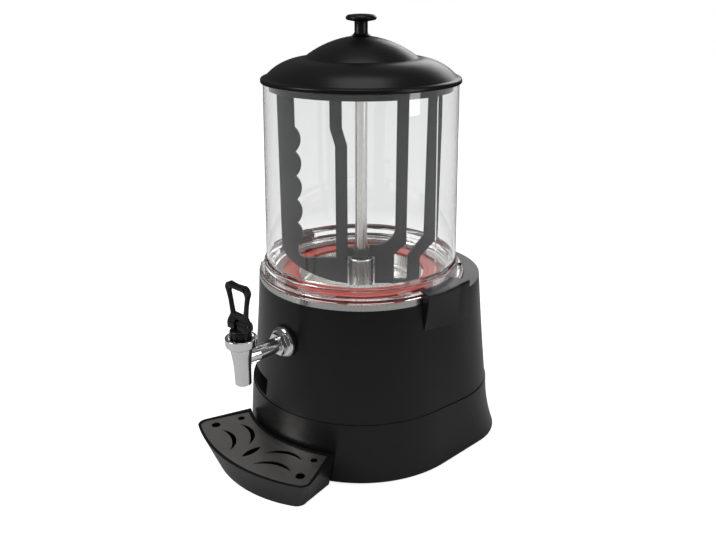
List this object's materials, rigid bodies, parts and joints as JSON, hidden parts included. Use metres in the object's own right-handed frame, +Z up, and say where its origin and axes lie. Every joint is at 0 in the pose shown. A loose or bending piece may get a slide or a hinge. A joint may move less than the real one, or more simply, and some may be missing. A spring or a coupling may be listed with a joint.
{
  "type": "hot chocolate dispenser",
  "caption": "Countertop hot drink dispenser: black flared housing, clear round tank with a rotating paddle, domed lid, chrome tap with a loop handle, and a drip tray with a steel grid.",
  "frame": {"origin": "on the tank's vertical axis, at the level of the table the feet stand on", "axes": "+Z up, -Y to the front where the tap is, +X to the right of someone facing the front"},
  "size_m": [0.324, 0.3958, 0.563],
  "materials": {
    "black_plastic": "satin",
    "dark_nylon": "satin",
    "clear_plastic": "polished",
    "red_silicone": "satin",
    "black_rubber": "matte",
    "steel": "brushed",
    "chrome": "polished",
    "aluminium": "cast",
    "bronze": "machined",
    "painted_motor": "satin",
    "white_nylon": "satin",
    "panel_plastic": "satin",
    "amber_lens": "polished",
    "red_rocker": "polished"
  },
  "bodies": {
    "machine": {"base_plate": "steel", "base_screws": "steel", "foot_screws": "steel", "lower_skirt": "black_plastic", "upper_housing": "black_plastic", "heating_bowl": "steel", "centre_boss": "steel", "centre_tube": "steel", "tube_top_bush": "bronze", "shaft_seal": "black_rubber", "bowl_gasket": "red_silicone", "heater_plate": "aluminium", "heater_element": "steel", "safety_thermostat": "steel", "outlet_pipe": "steel", "tie_rods": "steel", "spacer_tubes": "steel", "tie_rod_nuts": "steel", "motor_plate": "steel", "gear_case": "aluminium", "gear_case_screws": "steel", "motor": "painted_motor", "tap_shank": "chrome", "tap_flange": "chrome", "tap_nut": "chrome", "tap_sealing_washer": "black_rubber", "tap_inner_nut": "steel", "tap_nozzle": "chrome", "tap_bonnet": "black_plastic", "tap_spring": "steel", "control_panel": "panel_plastic", "thermostat_body": "white_nylon", "mixer_switch_body": "panel_plastic", "heater_switch_body": "panel_plastic", "heating_lamp": "amber_lens", "mains_inlet": "black_plastic", "foot_front_left": "black_rubber", "foot_front_right": "black_rubber", "foot_rear_left": "black_rubber", "foot_rear_right": "black_rubber"},
    "mixer": {"output_shaft": "steel", "drive_coupling": "white_nylon", "drive_shaft": "steel", "stirrer": "dark_nylon", "stirrer_cap": "dark_nylon"},
    "tank": {"tank": "clear_plastic"},
    "lid": {"lid": "black_plastic", "lid_knob": "black_plastic", "lid_knob_screw": "steel"},
    "tap_valve": {"tap_stem": "steel", "tap_seat_cup": "black_rubber", "tap_pin": "steel"},
    "tap_handle": {"tap_handle": "black_plastic"},
    "thermostat_knob": {"thermostat_knob": "black_plastic"},
    "mixer_rocker": {"mixer_rocker": "black_plastic"},
    "heater_rocker": {"heater_rocker": "red_rocker"},
    "tray": {"drip_tray": "black_plastic"},
    "grid": {"drip_grid": "steel"}
  },
  "joints": [
    {"name": "mixer_spin", "type": "hinge", "parent": "machine", "child": "mixer", "pos_m": [0, 0, 0.25], "axis": [0, 0, 1], "continuous": true},
    {"name": "tank_turn", "type": "hinge", "parent": "machine", "child": "tank", "pos_m": [0, 0, 0.25], "axis": [0, 0, 1], "range_deg": [-28, 0]},
    {"name": "lid_lift", "type": "slide", "parent": "tank", "child": "lid", "axis": [0, 0, 1], "range_m": [0, 0.06]},
    {"name": "tap_lift", "type": "slide", "parent": "machine", "child": "tap_valve", "axis": [0, 0, 1], "range_m": [0, 0.0034], "deforming": ["tap_spring"]},
    {"name": "tap_pull", "type": "hinge", "parent": "tap_valve", "child": "tap_handle", "pos_m": [0, -0.209, 0.2238], "axis": [1, 0, 0], "range_deg": [0, 35], "stiffness_Nm_per_rad": 0.2, "springref_deg": -11.46},
    {"name": "thermostat_turn", "type": "hinge", "parent": "machine", "child": "thermostat_knob", "pos_m": [-0.10086, -0.09174, 0.099], "axis": [-0.5736, -0.8192, 0], "range_deg": [-270, 0]},
    {"name": "mixer_switch", "type": "hinge", "parent": "machine", "child": "mixer_rocker", "pos_m": [-0.07264, -0.10723, 0.099], "axis": [0, 0, 1], "range_deg": [0, 16]},
    {"name": "heater_switch", "type": "hinge", "parent": "machine", "child": "heater_rocker", "pos_m": [-0.05298, -0.12099, 0.099], "axis": [0, 0, 1], "range_deg": [0, 16]},
    {"name": "tray_slide", "type": "slide", "parent": "machine", "child": "tray", "axis": [0, -1, 0], "range_m": [0, 0.08]},
    {"name": "grid_lift", "type": "slide", "parent": "tray", "child": "grid", "axis": [0, 0, 1], "range_m": [0, 0.04]}
  ],
  "couplings": [
    {"joint": "tap_pull", "follows": "tap_lift", "rad_per_m": 179.66}
  ]
}
